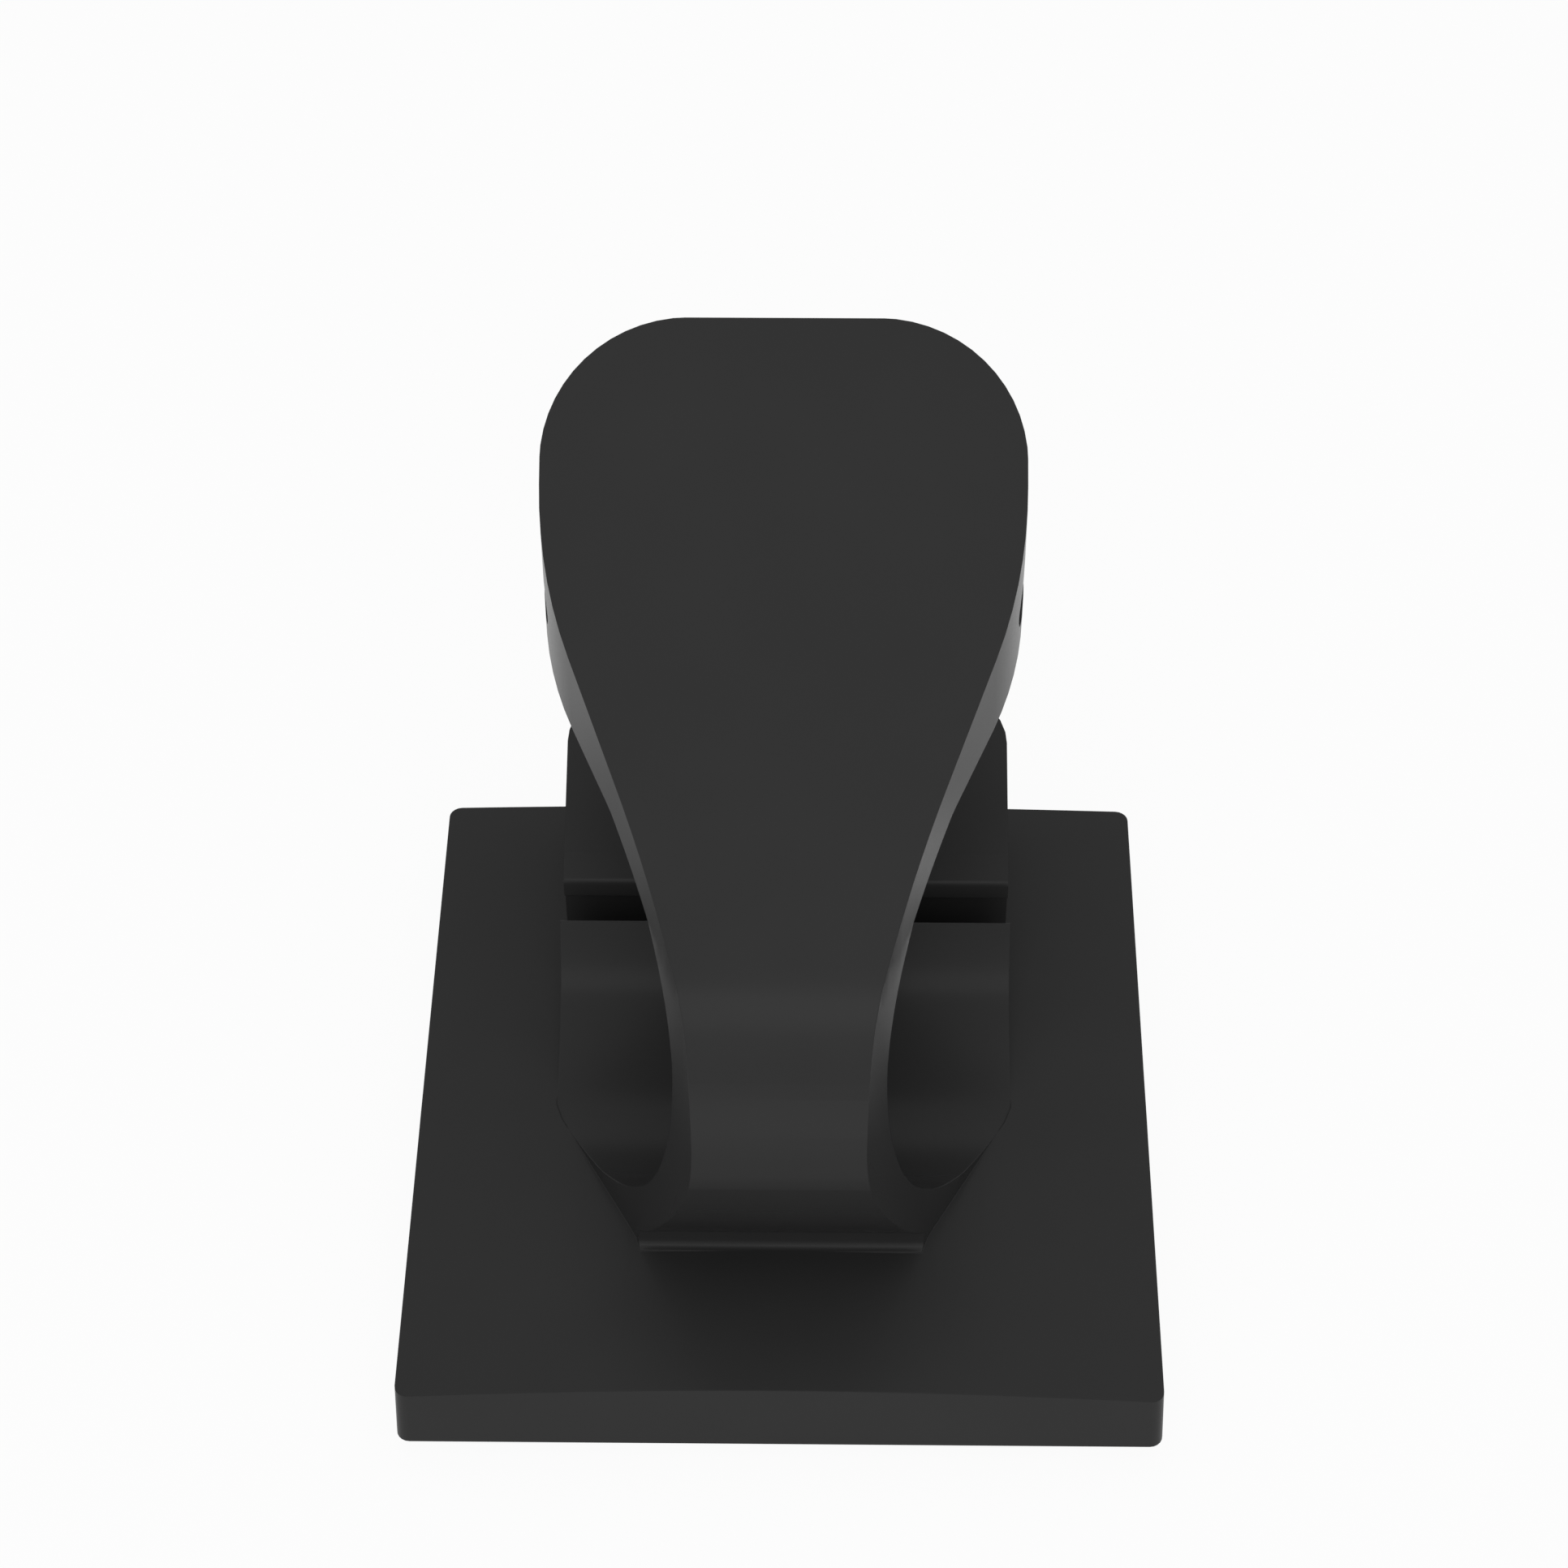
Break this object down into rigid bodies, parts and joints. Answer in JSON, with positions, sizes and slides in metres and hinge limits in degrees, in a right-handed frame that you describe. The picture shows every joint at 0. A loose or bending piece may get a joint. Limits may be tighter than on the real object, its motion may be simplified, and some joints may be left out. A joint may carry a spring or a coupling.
{
  "type": "adhesive cable clip",
  "caption": "Stick-on spring cable clip: a springy arm curls up from a square base plate and its hook snaps under a nosed post to hold a cable bundle.",
  "frame": {"origin": "middle of the sticky face under the foam tape", "axes": "+X along the cable, +Y from the bent front of the clip to the post at its back, +Z away from the wall or table it is stuck to"},
  "size_m": [0.0286, 0.0302, 0.0319],
  "materials": {
    "clip_plastic": "fine satin, as moulded",
    "foam_tape": "matt closed-cell foam"
  },
  "bodies": {
    "root": {"clip_body": "clip_plastic", "foam_tape": "foam_tape"}
  },
  "joints": []
}
